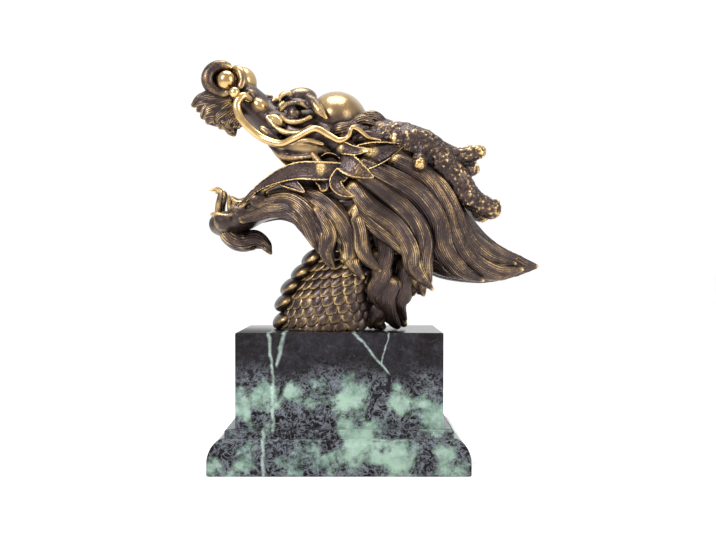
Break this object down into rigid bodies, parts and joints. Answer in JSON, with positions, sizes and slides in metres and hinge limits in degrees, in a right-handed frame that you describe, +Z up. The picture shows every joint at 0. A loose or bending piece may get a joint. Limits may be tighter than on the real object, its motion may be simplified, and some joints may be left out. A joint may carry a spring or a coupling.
{
  "type": "dragon head sculpture on a plinth",
  "caption": "Bronze bust of an open-mouthed traditional dragon with horns, whiskers and flowing mane, on a moulded marble plinth.",
  "frame": {"origin": "middle of the plinth's underside", "axes": "+Z up; the dragon looks towards -X; the XZ plane is its plane of symmetry"},
  "size_m": [0.297, 0.171, 0.3377],
  "materials": {
    "marble": "polished dark green marble, mottled, with white veins",
    "bronze": "dark brown patina, rubbed to gold on the ridges"
  },
  "bodies": {
    "root": {"plinth": "marble", "dragon_bust": "bronze"}
  },
  "joints": []
}
